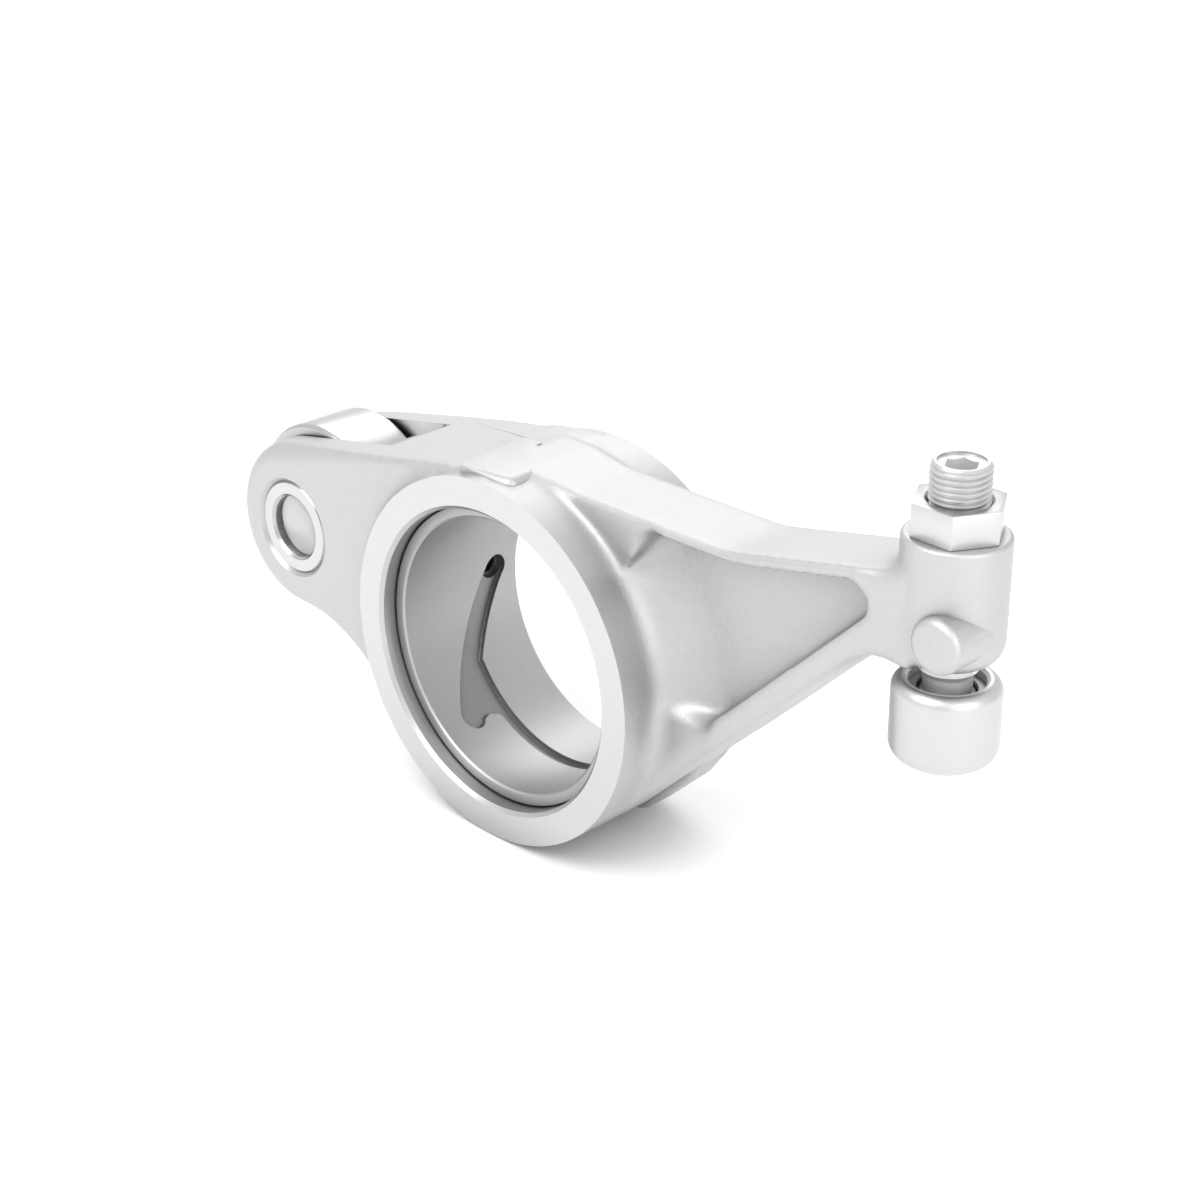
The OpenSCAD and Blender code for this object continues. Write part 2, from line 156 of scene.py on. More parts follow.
def through(r: float, chamfer: float, low: float, high: float, past: float) -> Outline:
    """The profile of the cutter of a through bore, chamfered at both ends.

    Args:
        r: Radius of the bore.
        chamfer: Width of its chamfers.
        low: Where the stock starts along the bore.
        high: Where the stock ends.
        past: How far the cutter stands out at each end.

    Returns:
        (radius, distance along the axis) of each corner.
    """
    wide = r + chamfer
    return [(0, low - past), (wide, low - past), (wide, low), (r, low + chamfer),
            (r, high - chamfer), (wide, high), (wide, high + past), (0, high + past)]


def hexagon(x: float, across: float) -> Outline:
    """A hexagon about (x, 0) with a corner on +X, from its width across flats."""
    corner = across / 2 / math.cos(math.radians(30))
    return [(x + corner * math.cos(math.radians(60 * i)), corner * math.sin(math.radians(60 * i)))
            for i in range(6)]


def outward(degrees: float) -> Vector:
    """The unit vector in XZ at an angle from +X towards +Z."""
    turn = math.radians(degrees)
    return Vector((math.cos(turn), 0, math.sin(turn)))


def bump_weight(distance: float, inner: float, outer: float) -> float:
    """A smooth weight that is 1 nearer than inner and 0 farther than outer."""
    t = max(0.0, min(1.0, (outer - distance) / (outer - inner)))
    return t * t * (3 - 2 * t)


# The bench


class Blank:
    """A piece of stock on the bench, in millimetres, shaped with edit mode tools and modifiers."""

    def __init__(self, thing: bpy.types.Object) -> None:
        """Takes hold of an object that was just added."""
        self.thing = thing

    @staticmethod
    def clear() -> None:
        """Leaves edit mode and deselects everything."""
        if bpy.context.object and bpy.context.object.mode != "OBJECT":
            bpy.ops.object.mode_set(mode="OBJECT")
        bpy.ops.object.select_all(action="DESELECT")

    def grip(self) -> None:
        """Makes this the only selected and active object."""
        Blank.clear()
        self.thing.select_set(True)
        bpy.context.view_layer.objects.active = self.thing

    @contextmanager
    def editing(self, mode: str = "VERT") -> Iterator[None]:
        """Edit mode with everything selected, and back.

        Args:
            mode: What is picked: VERT, EDGE or FACE.
        """
        self.grip()
        bpy.ops.object.mode_set(mode="EDIT")
        bpy.ops.mesh.select_mode(type=mode)
        bpy.ops.mesh.select_all(action="SELECT")
        yield
        bpy.ops.object.mode_set(mode="OBJECT")

    @classmethod
    def drawn(cls, name: str, points: Sequence[Point], close: bool = False) -> Blank:
        """A line drawn by extruding one vertex from point to point.

        Args:
            name: Name of the object.
            points: The points in turn.
            close: Whether the line is closed and filled with a face.

        Returns:
            The drawn line or face.
        """
        cls.clear()
        bpy.ops.mesh.primitive_plane_add(size=1.0, location=(0, 0, 0))
        blank = cls(bpy.context.active_object)
        blank.thing.name = name
        with blank.editing():
            bpy.ops.mesh.merge(type="CENTER")
            at = Vector(points[0])
            bpy.ops.transform.translate(value=at)
            for point in points[1:]:
                step = Vector(point) - at
                bpy.ops.mesh.extrude_region_move(TRANSFORM_OT_translate={"value": step})
                at = at + step
            if close:
                bpy.ops.mesh.select_all(action="SELECT")
                bpy.ops.mesh.edge_face_add()
        return blank

    @classmethod
    def plate(cls, name: str, outline: Outline, low: float, high: float, flat: bool = False) -> Blank:
        """A flat outline pushed out into a plate.

        Args:
            name: Name of the object.
            outline: Points in XZ, or in XY where flat is true.
            low: Where the plate starts along the third axis.
            high: Where it ends.
            flat: Whether the outline lies in XY and is pushed out along Z.

        Returns:
            The closed plate.
        """
        points = [(a, b, low) if flat else (a, low, b) for a, b in outline]
        push = (0, 0, high - low) if flat else (0, high - low, 0)
        blank = cls.drawn(name, points, close=True)
        with blank.editing("FACE"):
            bpy.ops.mesh.extrude_region_move(TRANSFORM_OT_translate={"value": push})
        return blank.facing_out()

    @classmethod
    def turned(cls, name: str, profile: Outline, along: Along, centre: Point = (0, 0, 0),
               steps: int = 128) -> Blank:
        """A half profile spun once about an axis.

        Args:
            name: Name of the object.
            profile: (radius, distance along the axis) of each point.
            along: The axis.
            centre: A point on the axis, from which distances count.
            steps: Steps of the turn.

        Returns:
            The closed turned shape.
        """
        at = Vector(centre)
        if along is Along.Y:
            points = [at + Vector((r, d, 0)) for r, d in profile]
        else:
            points = [at + Vector((r, 0, d)) for r, d in profile]
        blank = cls.drawn(name, points)
        with blank.editing():
            bpy.ops.mesh.spin(steps=steps, angle=math.tau, center=at, axis=along.value)
            bpy.ops.mesh.select_all(action="SELECT")
            bpy.ops.mesh.remove_doubles(threshold=0.0005)
        return blank.facing_out()

    @classmethod
    def swept(cls, name: str, section: Outline, along: Along, centre: Point, start: float,
              turn: float, steps: int) -> Blank:
        """A closed section spun part of a turn, with its two end faces.

        Args:
            name: Name of the object.
            section: (radius, distance along the axis) of each corner.
            along: The axis.
            centre: A point on it.
            start: Where the sweep starts, in degrees from +X, right-handed.
            turn: Degrees that it is spun through.
            steps: Its steps.

        Returns:
            The closed piece.
        """
        at = Vector(centre)
        side = along is Along.Y
        corners = [at + Vector((r, d, 0) if side else (r, 0, d)) for r, d in section]
        blank = cls.drawn(name, corners, close=True)
        with blank.editing("FACE"):
            bpy.ops.mesh.spin(steps=steps, angle=math.radians(turn), center=at, axis=along.value)
        return blank.facing_out().spun(start, along, centre)

    @classmethod
    def rod(cls, name: str, r: float, start: Point, end: Point, sides: int = 96) -> Blank:
        """A cylinder between two points, as a cutter or as stock.

        Args:
            name: Name of the object.
            r: Radius.
            start: Middle of one end.
            end: Middle of the other end.
            sides: Number of sides.

        Returns:
            The cylinder.
        """
        a, b = Vector(start), Vector(end)
        turn = (b - a).to_track_quat("Z", "Y").to_euler()
        cls.clear()
        bpy.ops.mesh.primitive_cylinder_add(
            vertices=sides, radius=r, depth=(b - a).length, location=(a + b) / 2, rotation=turn)
        blank = cls(bpy.context.active_object)
        blank.thing.name = name
        return blank.settled()

    def settled(self) -> Blank:
        """Moves the object's place, turn and size into its mesh."""
        self.grip()
        bpy.ops.object.transform_apply(location=True, rotation=True, scale=True)
        return self

    def facing_out(self) -> Blank:
        """Recalculates the normals so that all faces point outwards."""
        with self.editing("FACE"):
            bpy.ops.mesh.normals_make_consistent(inside=False)
        return self

    def copy(self, name: str) -> Blank:
        """Copies the piece, mesh and all.

        Args:
            name: Name of the copy.

        Returns:
            The copy.
        """
        self.grip()
        bpy.ops.object.duplicate(linked=False)
        twin = Blank(bpy.context.active_object)
        twin.thing.name = name
        return twin

    def mirrored(self, name: str) -> Blank:
        """Copies the piece to the other side of the arm's middle plane.

        Args:
            name: Name of the copy.

        Returns:
            The copy.
        """
        twin = self.copy(name)
        with twin.editing():
            bpy.ops.transform.resize(value=(1, -1, 1), center_override=(0, 0, 0))
        return twin.facing_out()

    def moved(self, by: Point) -> Blank:
        """Moves the mesh by a vector."""
        with self.editing():
            bpy.ops.transform.translate(value=by)
        return self

    def spun(self, degrees: float, axis: Along, centre: Point) -> Blank:
        """Turns the mesh about an axis through a point, right-handed.

        Args:
            degrees: The angle.
            axis: The axis.
            centre: A point on it.

        Returns:
            This piece.
        """
        here = Matrix.Translation(Vector(centre))
        turn = Matrix.Rotation(math.radians(degrees), 4, Vector(axis.value))
        self.thing.matrix_world = here @ turn @ here.inverted() @ self.thing.matrix_world
        return self.settled()

    def apply(self, kind: str, **settings: object) -> Blank:
        """Adds one modifier and applies it.

        Args:
            kind: The modifier's type.
            **settings: Its settings.

        Returns:
            This piece.
        """
        self.grip()
        modifier = self.thing.modifiers.new(kind.lower(), kind)
        for key, value in settings.items():
            setattr(modifier, key, value)
        bpy.ops.object.modifier_apply(modifier=modifier.name)
        return self

    def join(self, op: Op, *cutters: Blank) -> Blank:
        """Adds, cuts or keeps with each cutter in turn, which is used up.

        Args:
            op: What the cutters do.
            *cutters: The cutters.

        Returns:
            This piece.
        """
        for cutter in cutters:
            self.apply("BOOLEAN", operation=op.value, solver="MANIFOLD", object=cutter.thing)
            bpy.data.objects.remove(cutter.thing)
        if not self.thing.data.polygons:
            raise RuntimeError(f"{self.thing.name}: {op.name} left nothing")
        return self

    def bevel(self, picks: Callable[[Vector, Vector], bool], width: float, segments: int) -> Blank:
        """Rounds the edges that a test picks.

        Args:
            picks: Says from an edge's two ends whether it is rounded.
            width: Width of the rounding.
            segments: Its number of strips.

        Returns:
            This piece.
        """
        with self.editing("EDGE"):
            bpy.ops.mesh.select_all(action="DESELECT")
        spots = self.thing.data.vertices
        for edge in self.thing.data.edges:
            edge.select = picks(*(spots[v].co for v in edge.vertices))
        self.grip()
        bpy.ops.object.mode_set(mode="EDIT")
        bpy.ops.mesh.bevel(offset=width, segments=segments, profile=0.5, affect="EDGES",
                           clamp_overlap=False)
        bpy.ops.object.mode_set(mode="OBJECT")
        return self

    def relax(self, weight: Callable[[Vector], float], rounds: int) -> Blank:
        """Smooths the surface where a weight says so.

        Args:
            weight: Weight from 0 to 1 of a point.
            rounds: How often the smoothing is repeated.

        Returns:
            This piece.
        """
        shades = 20
        levels: dict[int, list[int]] = {}
        for vertex in self.thing.data.vertices:
            level = round(shades * weight(vertex.co))
            if level:
                levels.setdefault(level, []).append(vertex.index)
        group = self.thing.vertex_groups.new(name="relax")
        for level, members in levels.items():
            group.add(members, level / shades, "REPLACE")
        self.apply("SMOOTH", factor=0.5, iterations=rounds, vertex_group=group.name)
        self.thing.vertex_groups.clear()
        return self

    def done(self, body: str, node: str, slot: str, skins: Sequence[Finish],
             pick: Callable[[Vector, Vector], int] | None = None, angle: float = 32.0) -> None:
        """Brings the piece to metres, dresses it and puts it on its body.

        Args:
            body: The body that it rides on.
            node: The solid that it stands for.
            slot: Not used.
            skins: Its finishes.
            pick: Says from a face's middle and normal which finish it has.
            angle: Edges sharper than this many degrees stay sharp.
        """
        mesh = self.thing.data
        mesh.materials.clear()
        for skin in skins:
            mesh.materials.append(skin.material())
        for face in mesh.polygons:
            face.material_index = pick(face.center, face.normal) if pick else 0
        with self.editing():
            bpy.ops.transform.resize(value=(MM, MM, MM), center_override=(0, 0, 0))
        self.grip()
        bpy.ops.object.shade_smooth_by_angle(angle=math.radians(angle))
        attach(self.thing, body)
        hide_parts(node)
        triangles = sum(len(face.vertices) - 2 for face in mesh.polygons)
        log.info("%s rides on %s: %d triangles", self.thing.name, body, triangles)


# Shader maths


class Signal:
    """A shader socket on which Python's operators build Math nodes."""

    def __init__(self, tree: Tree, socket: bpy.types.NodeSocket) -> None:
        """Wraps a socket of a tree."""
        self.tree = tree
        self.socket = socket

    def _math(self, operation: str, a: Value, b: Value) -> Signal:
        """One Math node."""
        return self.tree.node("ShaderNodeMath", {"operation": operation}, {0: a, 1: b})

    def __add__(self, other: Value) -> Signal:
        """Sum."""
        return self._math("ADD", self, other)

    __radd__ = __add__

    def __mul__(self, other: Value) -> Signal:
        """Product."""
        return self._math("MULTIPLY", self, other)

    __rmul__ = __mul__

    def __sub__(self, other: Value) -> Signal:
        """Difference."""
        return self._math("SUBTRACT", self, other)

    def __rsub__(self, other: Value) -> Signal:
        """Difference from a number."""
        return self._math("SUBTRACT", other, self)

    def __pow__(self, other: Value) -> Signal:
        """Power."""
        return self._math("POWER", self, other)


Value = float | Signal


class Tree:
    """A material's node tree with its shader, and the piece's own coordinates."""

    def __init__(self, name: str) -> None:
        """Starts a material with one shader.

        Args:
            name: Name of the material.
        """
        self.stuff = bpy.data.materials.new(name)
        self.stuff.use_nodes = True
        self.nodes = self.stuff.node_tree.nodes
        self.links = self.stuff.node_tree.links
        self.shader = self.nodes["Principled BSDF"]
        self.place = self.node("ShaderNodeTexCoord", {}, {}, "Object")

    def node(self, kind: str, settings: dict[str, object], inputs: dict[int | str, object],
             out: int | str = 0) -> Signal:
        """Adds any node.

        Args:
            kind: The node's type.
            settings: Its settings, which are set first.
            inputs: Values or signals of its sockets.
            out: The output that is returned.

        Returns:
            The output as a signal.
        """
        node = self.nodes.new(kind)
        for key, value in settings.items():
            setattr(node, key, value)
        for key, value in inputs.items():
            self.feed(node.inputs[key], value)
        return Signal(self, node.outputs[out])

    def feed(self, socket: bpy.types.NodeSocket, value: object) -> None:
        """Links a signal to a socket, or sets a constant on it.

        Args:
            socket: The input.
            value: The signal or the constant.
        """
        if isinstance(value, Signal):
            self.links.new(value.socket, socket)
        else:
            socket.default_value = value

    def noise(self, scale: float, detail: float = 3.0) -> Signal:
        """Noise in the piece's own space, scale in waves to the metre."""
        return self.node("ShaderNodeTexNoise", {"noise_dimensions": "3D"},
                         {"Vector": self.place, "Scale": scale, "Detail": detail, "Roughness": 0.55})

    def blend(self, share: Value, low: Point, high: Point) -> Signal:
        """A colour between two colours."""
        return self.node("ShaderNodeMix", {"data_type": "RGBA"},
                         {0: share, 6: (*low, 1), 7: (*high, 1)}, 2)

    def uneven(self, spot: Signal, pitch: float) -> Signal:
        """A height from 0 to 1 that wavers along a distance, pitch being the width of a wave."""
        return self.node("ShaderNodeTexNoise", {"noise_dimensions": "1D"},
                         {"W": spot * (1 / pitch), "Scale": 1.0, "Detail": 2.0})

    def rings(self, centre: Point, along: Along, pitch: float) -> Signal:
        """Fine irregular rings about an axis, as a turning tool leaves them.

        Args:
            centre: A point on the axis in metres.
            along: The axis.
            pitch: Rough width of a ring in metres.

        Returns:
            A height from 0 to 1.
        """
        flat = tuple(1.0 - a for a in along.value)
        spot = self.node("ShaderNodeMapping", {}, {0: self.place, 1: [-c for c in centre]})
        across = self.node("ShaderNodeVectorMath", {"operation": "MULTIPLY"}, {0: spot, 1: flat})
        radius = self.node("ShaderNodeVectorMath", {"operation": "LENGTH"}, {0: across}, "Value")
        return self.uneven(radius, pitch)

    def hoops(self, along: Along, pitch: float) -> Signal:
        """Fine irregular hoops stacked along an axis, as on a turned or ground outside.

        Args:
            along: The axis.
            pitch: Rough width of a hoop in metres.

        Returns:
            A height from 0 to 1.
        """
        depth = self.node("ShaderNodeVectorMath", {"operation": "DOT_PRODUCT"},
                          {0: self.place, 1: along.value}, "Value")
        return self.uneven(depth, pitch)

    def relief(self, height: Signal, depth: float) -> None:
        """Raises the surface by a height, depth in metres."""
        bump = self.node("ShaderNodeBump", {}, {"Strength": 1.0, "Distance": depth,
                                                "Height": height}, "Normal")
        self.feed(self.shader.inputs["Normal"], bump)


@dataclass(frozen=True)
class Finish:
    """A metal finish with a fine even grain.

    Its colour drifts between tint and shade. Near another surface, within a reach in metres, it is
    darkened towards a dark grey by up to a set share: painted shade in hollows, creases and bores.
    Grain is in waves to the metre, and depth is the relief in metres.
    """

    name: str
    tint: Triple = (0.56, 0.56, 0.555)
    shade: Triple = (0.49, 0.49, 0.485)
    rough: float = 0.42
    spread: float = 0.08
    grain: float = 900.0
    depth: float = 0.00003
    # Painted shade: how near another surface darkens the colour, in metres, by how much, how steeply,
    # and towards what colour.
    painted_shade_reach: float = 0.01
    painted_shade_depth: float = 0.95
    painted_shade_falloff: float = 1.3
    painted_shade_colour: tuple[float, ...] = (0.1, 0.1, 0.1, 1)

    def height(self, tree: Tree) -> Signal:
        """The fine relief of the finish, from 0 to 1."""
        return tree.noise(self.grain, 3.0)

    def material(self) -> bpy.types.Material:
        """Builds the material once.

        Returns:
            The material, which is the same one each time.
        """
        known = bpy.data.materials.get(self.name)
        if known:
            return known
        tree = Tree(self.name)
        cloud = tree.noise(45.0, 4.0)
        fleck = tree.noise(self.grain * 0.45, 2.0)
        height = self.height(tree)
        # Painted shade: an ambient occlusion mask darkens the base colour where other surfaces stand
        # close, where shade falls.
        open_sky = tree.node("ShaderNodeAmbientOcclusion", {"samples": 8},
                             {"Distance": self.painted_shade_reach}, "AO")
        metal = tree.blend(0.55 * cloud + 0.45 * fleck, self.shade, self.tint)
        painted_shade_share = self.painted_shade_depth * (1 - open_sky) ** self.painted_shade_falloff
        shaded_metal = tree.node("ShaderNodeMix", {"data_type": "RGBA", "blend_type": "MULTIPLY"},
                         {0: painted_shade_share, 6: metal, 7: self.painted_shade_colour}, 2)
        tree.feed(tree.shader.inputs["Base Color"], shaded_metal)
        tree.feed(tree.shader.inputs["Metallic"], 1.0)
        tree.feed(tree.shader.inputs["Roughness"],
                  self.rough + self.spread * (cloud + height - 1.0))
        tree.relief(height, self.depth)
        return tree.stuff


@dataclass(frozen=True)
class Turned(Finish):
    """A faced end: rings about an axis."""

    centre: Triple = (0.0, 0.0, 0.0)
    along: Along = Along.Y
    pitch: float = 0.00035

    def height(self, tree: Tree) -> Signal:
        """Rings left by the facing tool."""
        return 0.8 * tree.rings(self.centre, self.along, self.pitch) + 0.2 * tree.noise(self.grain)


@dataclass(frozen=True)
class Bored(Turned):
    """A bored or ground round face: hoops along an axis."""

    def height(self, tree: Tree) -> Signal:
        """Hoops left by the boring bar or the grinding wheel."""
        return 0.8 * tree.hoops(self.along, self.pitch) + 0.2 * tree.noise(self.grain)


# The finishes, and points on two axes in metres


PIN_AXIS = (PIN_X * MM, 0.0, PIN_Z * MM)
SCREW_AXIS = (SCREW_X * MM, 0.0, 0.0)
# Each finish carries its own reach and share of painted shade near other surfaces.
FORGED = Finish("forged steel, shot blasted", rough=0.5, grain=1500.0, depth=0.00006, painted_shade_reach=0.014)
FACED = Turned("faced steel", tint=(0.6, 0.6, 0.6), shade=(0.56, 0.56, 0.56), rough=0.36,
               depth=0.00001)
BORED = Bored("bored steel", tint=(0.54, 0.54, 0.54), shade=(0.48, 0.48, 0.48), rough=0.36,
              depth=0.00001)
# Painted shade: the slot's faces get a darker steel than the rest of the arm, for the shade inside
# the slot.
SLOT_PAINTED_SHADE = Finish("milled slot steel, darkened as painted shade", tint=(0.4, 0.4, 0.4), shade=(0.34, 0.34, 0.34), grain=2500.0,
                depth=0.00001)
SPOT_FACED = Turned("spot-faced steel", tint=(0.58, 0.58, 0.58), shade=(0.53, 0.53, 0.53), rough=0.36,
                    depth=0.00001, centre=SCREW_AXIS, along=Along.Z)
OVERLAY = Bored("grey bearing overlay", tint=(0.47, 0.47, 0.465), shade=(0.4, 0.4, 0.395), rough=0.45,
                depth=0.000006, painted_shade_reach=0.003)
GROOVED = Finish("cut groove", tint=(0.34, 0.34, 0.337), shade=(0.28, 0.28, 0.278), rough=0.5,
                 grain=2500.0, depth=0.00001, painted_shade_reach=0.002)
GROUND = Bored("ground rim", tint=(0.52, 0.52, 0.525), shade=(0.47, 0.47, 0.475), rough=0.28,
               depth=0.000004, pitch=0.00025)
# Painted light: a much lighter steel with no painted shade, put on the screw's socket, neck and ball
# and on the foot's inside, which sit in shade.
PAINTED_LIGHT_STEEL = Finish("steel lightened as painted light", tint=(0.85, 0.85, 0.855), shade=(0.8, 0.8, 0.805), rough=0.5,
              grain=3000.0, depth=0.000004, painted_shade_depth=0.0)
LAPPED = Turned("faced end", tint=(0.6, 0.6, 0.605), shade=(0.55, 0.55, 0.555), rough=0.3,
                depth=0.000008, centre=PIN_AXIS)
PRESSED = Turned("pressed plug", tint=(0.64, 0.64, 0.645), shade=(0.59, 0.59, 0.595), rough=0.3,
                 depth=0.000008, centre=PIN_AXIS)
BRONZE = Bored("bearing bronze", tint=(0.6, 0.46, 0.29), shade=(0.52, 0.39, 0.23), rough=0.34,
               depth=0.000005)
PLATED = Bored("plated screw", tint=(0.62, 0.62, 0.63), shade=(0.56, 0.56, 0.57), rough=0.36,
               depth=0.000006, along=Along.Z, painted_shade_depth=0.25)
NUT_SKIN = Turned("plated nut", tint=(0.58, 0.585, 0.59), shade=(0.52, 0.525, 0.53), rough=0.36,
                  depth=0.000008, centre=SCREW_AXIS, along=Along.Z)
HARDENED = Bored("hardened foot", tint=(0.6, 0.6, 0.595), shade=(0.54, 0.54, 0.535), rough=0.4,
                 depth=0.00001, along=Along.Z, painted_shade_depth=0.5)
SPRING = Bored("spring steel", tint=(0.42, 0.42, 0.43), shade=(0.35, 0.35, 0.36), rough=0.4,
               depth=0.000006, along=Along.Z, painted_shade_depth=0.3)


# The forging


class ArmFace(IntEnum):
    """The kinds of face on the arm, in the order of its finishes."""

    FORGED = 0
    FACED = 1
    BORED = 2
    SLOT_PAINTED_SHADE = 3
    SPOT_FACED = 4


@dataclass
class Forging:
    """The steel arm: forged all over, then faced, bored, slotted and drilled."""

    hub_r: float = 36.0
    hub_half: float = 16.9
    seat_r: float = SEAT_R
    seat_chamfer: float = 0.7
    pin: tuple[float, float] = (PIN_X, PIN_Z)
    nose_r: float = 17.1
    ears_half: float = 14.9
    ear_slope: float = 11.1
    ear_edge: float = 3.6
    slot_half: float = 7.9
    pin_r: float = PIN_R
    top_z: float = 35.65
    bend_x: float = 50.0
    rise: float = 12.2
    lower_slope: float = 43.8
    rib_half: float = 8.5
    web_half: float = 3.0
    flare_in: float = 8.0
    flare_out: float = 13.0
    low_rib: float = 4.4
    hollow_bend: tuple[float, float] = (53.5, 34.05)
    hollow_tip_r: float = 3.7
    hollow_corner: float = 46.4
    screw_x: float = SCREW_X
    boss_r: float = 8.95
    boss_low: float = 27.5
    boss_top: float = BOSS_TOP
    lug: tuple[float, float] = (96.2, 34.2)
    lug_r: float = 4.85
    lug_out: float = 10.5
    lug_edge: float = 1.5
    bore_r: float = 5.06
    gallery_r: float = 2.0
    gallery_from: float = 24.0
    mouth_from: float = 69.8
    gallery_to: float = 80.0
    stock: float = 1.2
    crown_line: tuple[Triple, ...] = ((-14, 34.9, 0), (-4, 36.85, 6), (2.5, 36.85, 12))
    crown_pad: tuple[Triple, ...] = ((-7.8, -15.3, 0.3), (4.9, -14.4, 2.2), (4.6, -7.5, 2.5),
                                     (-4.0, 2.7, 3), (-9.7, 2.5, 0.6))
    crown_top: float = 36.95
    crown_crease: float = 0.2
    crown_edge: float = 1.8
    ear_top_x: float = -11.0
    under_r: float = 31.0
    sweep_r: float = 30.0
    corner_r: float = 2.2
    rib_edge: float = 1.1
    slot_r: tuple[float, float] = (3.6, 1.0)
    foot_proud: float = 1.2
    foot_front: float = 1.5
    foot_edge: float = 0.9
    pin_chamfer: float = 0.75
    bore_chamfer: float = 0.4
    rim_r: float = 0.8
    soft_spots: tuple[tuple[float, ...], ...] = ((39.5, -7.0, 4, 11), (33.0, 31.0, 0.5, 5),
                                                 (41.5, 1.5, 3, 8))
    boss_root_x: float = 84.0
    voxel: float = 0.62
    wall_rounds: int = 60
    fillet_rounds: int = 90
    die_rounds: int = 6

    def hub(self) -> Blank:
        """The round hub, a little too wide, for facing later."""
        half = self.hub_half + self.stock
        return Blank.rod("hub", self.hub_r, (0, -half, 0), (0, half, 0), 256)

    def ears(self) -> Blank:
        """The block of the two ears with its round nose and soft outer edges.

        Returns:
            The block, without its slot.
        """
        x, z = self.pin
        up = 90 + self.ear_slope
        tangent = math.radians(self.ear_slope)
        nose = arc(x, z, self.nose_r, up, 270, 28)
        top_x = self.ear_top_x
        top = (top_x, nose[0][1] + (top_x - nose[0][0]) * math.tan(tangent))
        under = arc(x + 1.2, z - self.nose_r - self.under_r, self.under_r, 89, 48, 14)
        outline = [(-1.0, 36.4), (-6.0, 36.2), top] + nose + under + [(-18, -16), (-4, 0)]
        block = Blank.plate("ears", outline, -self.ears_half, self.ears_half)
        half = self.ears_half - 0.01
        return block.bevel(lambda a, b: abs(a.y) > half and abs(b.y) > half and a.y * b.y > 0
                           and max(a.x, b.x) < -12, self.ear_edge, 6)

    def beam_outline(self) -> Outline:
        """Outline of the arm from the hub to the boss.

        Returns:
            Points in XZ.
        """
        slope = math.radians(self.lower_slope)
        start = (self.hub_r * math.sin(slope), -self.hub_r * math.cos(slope))
        level = self.boss_low - 0.3
        throat_x = start[0] + (level - start[1]) / math.tan(slope)
        end_x = self.screw_x - 2
        end_z = self.top_z + (end_x - self.bend_x) * math.tan(math.radians(self.rise))
        return rounded([*self.crown_line, (14, self.top_z, self.sweep_r),
                        (self.bend_x, self.top_z, self.sweep_r), (end_x, end_z, 0),
                        (end_x, level, 0), (throat_x, level, 12), (*start, 0), (0, 0, 0)])

    def hollow(self) -> Blank:
        """The cutter of the hollow on the front side of the web.

        Returns:
            The cutter.
        """
        slope = math.radians(self.lower_slope)
        fall, climb = math.tan(slope), math.tan(math.radians(self.rise))
        low = self.hub_r - self.low_rib
        foot = (low * math.sin(slope), -low * math.cos(slope))
        x, top = self.hollow_bend
        right = (top - x * climb - foot[1] + foot[0] * fall) / (fall - climb)
        corner = self.hollow_corner
        outline = rounded([(19.4, 12.0, 0), (32.9, top - 0.3, self.corner_r), (x, top, 20),
                           (right, top + (right - x) * climb, self.hollow_tip_r),
                           (corner, foot[1] + (corner - foot[0]) * fall, self.corner_r),
                           (24, 1.6, 0)], 10)
        return Blank.plate("hollow", outline, -14.0, -self.web_half)

    def flare(self) -> Blank:
        """The wide fillet that runs from the hub into the web, inside the arm's outline.

        Returns:
            The ring, cut to the arm.
        """
        side = [(self.hub_r + self.flare_out * (1 - p), -self.web_half + self.flare_in * (q - 1))
                for p, q in arc(0, 0, 1, 0, 90, 20)]
        half = [(20.0, side[0][1])] + side
        profile = half + [(p, -q) for p, q in reversed(half)] + [half[0]]
        ring = Blank.turned("flare", profile, Along.Y, steps=160)
        return ring.join(Op.KEEP, Blank.plate("flare_mask", self.beam_outline(), -15, 15))

    def beam(self) -> Blank:
        """The arm's ribs and web.

        Returns:
            The beam with both hollows.
        """
        beam = Blank.plate("beam", self.beam_outline(), -self.rib_half, self.rib_half)
        beam.bevel(lambda a, b: abs(a.y) > self.rib_half - 0.01 and a.y * b.y > 0
                   and max(a.x, b.x) > 10 and min(a.x, b.x) < self.screw_x - 3, self.rib_edge, 3)
        front = self.hollow()
        return beam.join(Op.CUT, front.mirrored("hollow_rear"), front)

    def boss(self) -> Blank:
        """The round boss of the screw, a little too tall, for facing later."""
        r, low, high = self.boss_r, self.boss_low, self.boss_top + 1.5
        profile = [(0, low)] + arc(r - 4, low + 4, 4, -90, 0) + [(r, high), (0, high)]
        return Blank.turned("boss", profile, Along.Z, (self.screw_x, 0, 0), 128)

    def pads(self) -> list[Blank]:
        """The crown's flat, the flat under the lower rib and the boss's round lug.

        Returns:
            The three blanks.
        """
        top = Blank.plate("crown_pad", rounded(self.crown_pad, 5), 33, self.crown_top, flat=True)
        rim = self.crown_top - 0.05
        top.bevel(lambda a, b: a.z > rim and b.z > rim and max(a.x, b.x) < -5, self.crown_crease, 3)
        top.bevel(lambda a, b: a.z > rim and b.z > rim and max(a.x, b.x) > -5, self.crown_edge, 8)
        r = self.hub_r
        side = [(-5.0, -32), (-5.0, -r - 0.2), (-3.0, -r - 1.0), (12.0, -r - self.foot_proud),
                (17.8, -r - 0.05), (17.8, -32)]
        foot = Blank.plate("foot_pad", side, self.foot_front, self.rib_half - 0.2)
        foot.bevel(lambda a, b: max(a.z, b.z) < -r + 0.1, self.foot_edge, 4)
        foot.spun(-self.lower_slope, Along.Y, (0, 0, 0))
        e = self.lug_edge
        lug = [(0, -self.lug_out)] + arc(self.lug_r - e, e - self.lug_out, e, -90, 0) + [
            (self.lug_r, -1), (0, -1)]
        round_lug = Blank.turned("lug", lug, Along.Y, (self.lug[0], 0, self.lug[1]), 96)
        return [top, foot, round_lug]

